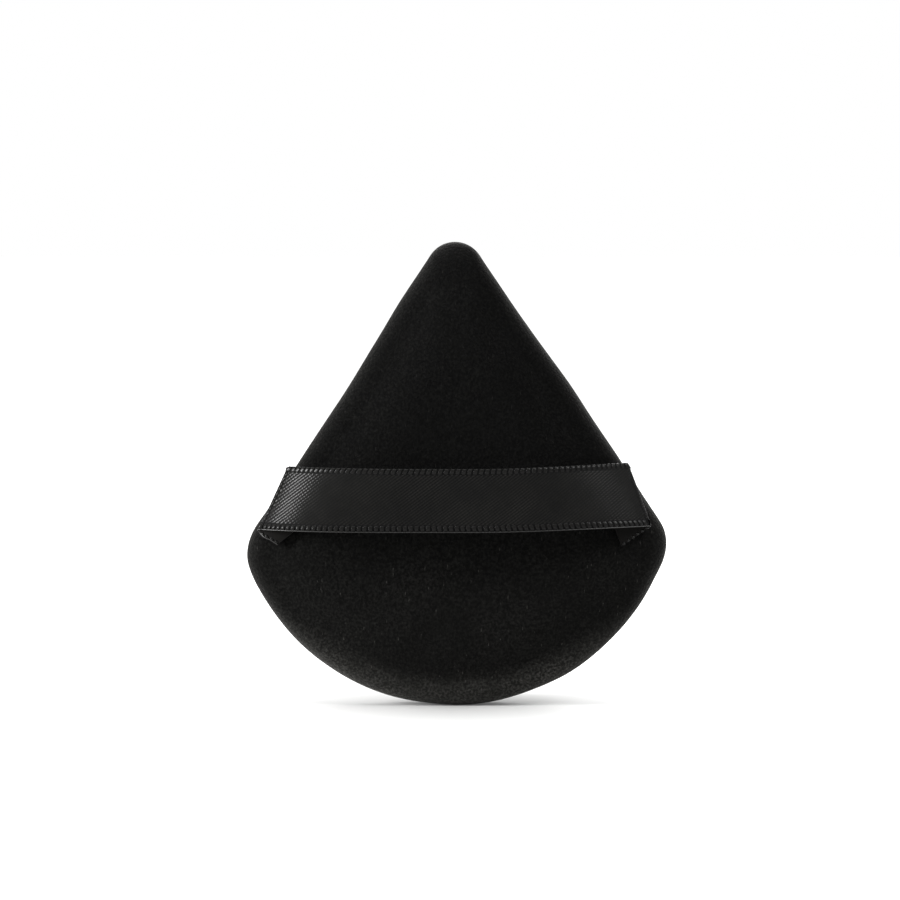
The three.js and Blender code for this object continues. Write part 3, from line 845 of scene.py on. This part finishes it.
# The ribbon's looped edges: each loop of weft comes over the face, round the edge and back under
def makeSelvage(grid):
    normals = gridNormals(grid)
    inside = ribbon["thickness"] / 2
    shape = [(picot["reach"], inside - 0.05), (0.8, inside + 0.02), (0.45, inside + 0.04),
             (0.12, inside + 0.03), (0.02, 0), (0.12, -inside - 0.03), (0.4, -inside - 0.01)]
    loops = []
    for column, inner, bead in ((0, 1, picot["bead"]), (-1, -2, picot["flat"])):
        edge = grid[:, column]
        steps = np.linalg.norm(np.diff(edge, axis=0), axis=1)
        run = np.concatenate([[0], np.cumsum(steps)])
        count = int(run[-1] / picot["pitch"])
        for k in range(count):
            at = (k + 0.5) * run[-1] / count
            centre, normal, inwards, along = (
                np.array([np.interp(at, run, values[:, axis]) for axis in range(3)])
                for values in (edge, normals[:, column], grid[:, inner] - edge, np.gradient(edge, axis=0)))
            inwards /= np.linalg.norm(inwards)
            along /= np.linalg.norm(along)
            path = [centre + inwards * d + normal * h + along * d * picot["slant"] for d, h in shape]
            radius = picot["radius"] * np.array(picot["girth"])
            flat = np.array([1, 1, 1, 0, 0, 0, 1]) * (picot["flat"] - bead) + bead
            loops.append(loft(tubeRings(path, radius, picot["sides"], along, flat)))
    return makeObject("strap_selvage", *joinPieces(loops))


# The outer filament of the lower edge, drawn straight along the tips of the loops to the right fold
def makeEdgeCord(grid):
    normals = gridNormals(grid)[:, 0]
    inwards = grid[:, 1] - grid[:, 0]
    inwards /= np.linalg.norm(inwards, axis=1)[:, None]
    path = (grid[:, 0] - inwards * picot["cord"] + normals * picot["cord"])[:-ribbon["tailSteps"]]
    rings = tubeRings(path, picot["cord"], picot["cordSides"], np.array([0, 0, 1]))
    return makeObject("strap_edge_cord", *loft(rings))


# Threads
thread = {
    "ply": 0.6,  # each ply's share of the thread's radius
    "pitch": 0.9,  # one turn of the twist
    "plySides": 6,
    "seamRadius": 0.24,
    "seamInset": 1.2,  # from the rim
    "seamSpacing": 0.25,
    "seamLowest": 0.3,  # above the table
}


def twisted(path, radius, plane):  # two plies wound round a path
    path = np.asarray(path, float)
    steps = np.linalg.norm(np.diff(path, axis=0), axis=1)
    run = np.concatenate([[0], np.cumsum(steps)])
    along = np.gradient(path, axis=0)
    along /= np.linalg.norm(along, axis=1)[:, None]
    across = np.cross(along, plane)
    across /= np.linalg.norm(across, axis=1)[:, None]
    up = np.cross(across, along)
    turns = 2 * math.pi * max(round(run[-1] / thread["pitch"]), 1) * run / run[-1]
    plies = []
    for start in (0, math.pi):
        swing = np.cos(turns + start)[:, None] * up + np.sin(turns + start)[:, None] * across
        strand = path + swing * radius * (1 - thread["ply"])
        plies.append(loft(tubeRings(strand, radius * thread["ply"], thread["plySides"], plane)))
    return plies


tack = {"inset": 2.6, "pitch": 3, "count": 3, "crest": 0.35, "trough": 1, "radius": 0.15, "steps": 36}


def makeTacking(name, fold):
    phase = np.linspace(0, tack["count"], tack["count"] * tack["steps"] + 1)
    x, z = foldPlace(fold, -tack["inset"], (phase - tack["count"] / 2) * tack["pitch"])
    middleHeight = (tack["crest"] - tack["trough"]) / 2
    swing = (tack["crest"] + tack["trough"]) / 2
    height = tailHeight(x, z) + middleHeight - swing * np.cos(2 * math.pi * phase)
    path = settle(np.stack([x, seamY - height, z], 1))
    lead = np.cross(path[-1] - path[0], [0, 1, 0])
    return makeObject(name, *joinPieces(twisted(path, tack["radius"], lead / np.linalg.norm(lead))))


def makeSeamThread():
    ring = swayed(standUp(rimRing(thread["seamInset"], thread["seamSpacing"]), 0))
    ring[:, 2] = np.maximum(ring[:, 2], thread["seamLowest"])
    path = np.concatenate([ring, ring[:1]])
    plies = twisted(path, thread["seamRadius"], np.array([0, 1, 0]))
    return makeObject("seam_stitching", *joinPieces(plies))


def dress(piece, material, slotName, body, *nodes):
    piece.data.materials.append(material)
    if nodes:
        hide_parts(*nodes)
    if body:
        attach(piece, body)


# Camera, at the photograph's place and scale
shot = {
    "pixel": 0.159,  # mm a pixel at the puff
    "frame": 900,  # pixels
    "midline": 456.5,  # pixel column of the puff's middle
    "table": 704,  # pixel row of its foot
    "distance": 700,
    "elevation": 2.7,
}


def makeCamera():
    camera = bpy.data.objects.new("camera", bpy.data.cameras.new("camera"))
    bpy.context.scene.collection.objects.link(camera)
    tilt = math.radians(shot["elevation"])
    centre = shot["frame"] / 2
    aim = Vector(((centre - shot["midline"]) * shot["pixel"], seamY,
                  (shot["table"] - centre) * shot["pixel"] / math.cos(tilt))) * mm
    away = Vector((0, -math.cos(tilt), math.sin(tilt))) * shot["distance"] * mm
    camera.location = aim + away
    camera.rotation_euler = (-away).to_track_quat("-Z", "Y").to_euler()
    camera.data.lens = camera.data.sensor_width * shot["distance"] / (shot["frame"] * shot["pixel"])
    camera.data.clip_start = 0.01
    bpy.context.scene.camera = camera


studio = {
    "aim": (0, 0, 0.035),
    "sky": 0.2,  # light from all round
    "floor": "#b2b2b1",
    "nearGlow": 0.01,  # what the camera sees added, so that the floor is white; it is least near the puff, which paints a shadow round the foot on top of the cast one
    "shadowReach": (0.067, 0.05),  # the glow is whole past this far to the front, and to the sides
    "tableReach": 20,  # half the table's width; all sizes here are metres
    "lamps": {  # azimuth from the camera's side, elevation, distance, width, height, radiance
        "leftSoftbox": (-77, 17, 0.6, 0.07, 0.3, 82),
        "rightSoftbox": (62, 45, 0.7, 0.3, 0.3, 11),
        "topSoftbox": (0, 88, 0.7, 0.5, 0.5, 3.4),
        "backSoftbox": (160, 30, 0.8, 0.5, 0.4, 8),
    },
}


def rayIsShown(tree):  # 1 for what the camera sees, straight, mirrored or through glass
    rays = addNode(tree, "ShaderNodeLightPath")
    first = addNode(tree, "ShaderNodeMath",
                    {0: rays.outputs["Is Camera Ray"], 1: rays.outputs["Is Glossy Ray"]}, operation="MAXIMUM")
    return addNode(tree, "ShaderNodeMath", {0: first.outputs[0], 1: rays.outputs["Is Transmission Ray"]},
                   operation="MAXIMUM").outputs[0]


def makeStudio():
    world = bpy.data.worlds.new("studio")
    bpy.context.scene.world = world
    world.use_nodes = True
    tree = world.node_tree
    tree.nodes.clear()
    strength = addNode(tree, "ShaderNodeMapRange", {"Value": rayIsShown(tree), "To Min": studio["sky"]})
    sky = addNode(tree, "ShaderNodeBackground", {"Color": [1, 1, 1, 1], "Strength": strength.outputs[0]})
    addNode(tree, "ShaderNodeOutputWorld", {"Surface": sky.outputs[0]})
    for name, (azimuth, elevation, distance, width, height, radiance) in studio["lamps"].items():
        light = bpy.data.lights.new(name, "AREA")
        light.shape = "RECTANGLE"
        light.size, light.size_y = width, height
        light.energy = radiance * math.pi * width * height
        lamp = bpy.data.objects.new(name, light)
        bpy.context.scene.collection.objects.link(lamp)
        turn, rise = math.radians(azimuth), math.radians(elevation)
        away = Vector((math.sin(turn) * math.cos(rise), -math.cos(turn) * math.cos(rise), math.sin(rise)))
        lamp.location = Vector(studio["aim"]) + away * distance
        lamp.rotation_euler = (-away).to_track_quat("-Z", "Y").to_euler()
    material, tree = newMaterial("whiteTable")
    place = addNode(tree, "ShaderNodeTexCoord")
    front, side = studio["shadowReach"]
    shares = addNode(tree, "ShaderNodeVectorMath", {0: place.outputs["Object"], 1: [1 / side, 1 / front, 1]},
                     operation="MULTIPLY")
    away = addNode(tree, "ShaderNodeVectorMath", {0: shares.outputs[0]}, operation="LENGTH")
    # The glow fades towards the puff: a painted shadow round its foot, over the cast one
    ramp = addNode(tree, "ShaderNodeMapRange", {"Value": away.outputs["Value"], "To Min": studio["nearGlow"]})
    glow = addNode(tree, "ShaderNodeMath", {0: rayIsShown(tree), 1: ramp.outputs[0]}, operation="MULTIPLY")
    shader = addNode(tree, "ShaderNodeBsdfPrincipled",
                     {"Base Color": hexColor(studio["floor"]), "Roughness": 0.9, "Specular IOR Level": 0.1,
                      "Emission Color": [1, 1, 1, 1], "Emission Strength": glow.outputs[0]})
    finishMaterial(tree, shader)
    edge = studio["tableReach"] / mm
    corners = [(-edge, -edge, 0), (edge, -edge, 0), (edge, edge, 0), (-edge, edge, 0)]
    floor = makeObject("table", corners, [(0, 1, 2, 3)])
    floor.data.materials.append(material)


bpy.context.scene.view_settings.view_transform = "Standard"
makeCamera()
makeStudio()

velourCloth = velourMaterial()
satinCloth = satinMaterial()
picotLoops = picotMaterial()
polyester = threadMaterial()
print("materials made")

tree = swollenPad()
front = makeCover("velour_front", 1, tree)
dress(front, velourCloth, "velour", "pad", "front_cover")
back = makeCover("velour_back", -1, tree)
dress(back, velourCloth, "velour", "pad", "back_cover")
print("covers made")

core = makeCore()
dress(core, foamMaterial(), "foam", "pad", "foam_core")
dress(makeSeamThread(), polyester, "sewing_thread", "pad", "rim_seam_thread")
dress(makeTacking("tacking_left", leftFold), polyester, "sewing_thread", "pad", "tack_thread_left")
dress(makeTacking("tacking_right", rightFold), polyester, "sewing_thread", "pad", "tack_thread_right")
print("core and threads made")

grid, lengths, acrossPlaces = ribbonGrid()
strap = makeRibbon(grid, lengths, acrossPlaces)
selvage = makeSelvage(grid)
dress(strap, satinCloth, "satin_ribbon", None, "ribbon_span", "ribbon_end_left", "ribbon_end_right")
dress(selvage, picotLoops, "satin_ribbon", None)
edgeCord = makeEdgeCord(grid)
dress(edgeCord, cordMaterial(), "satin_ribbon", None)
for piece in (strap, selvage, edgeCord):
    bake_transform(piece)
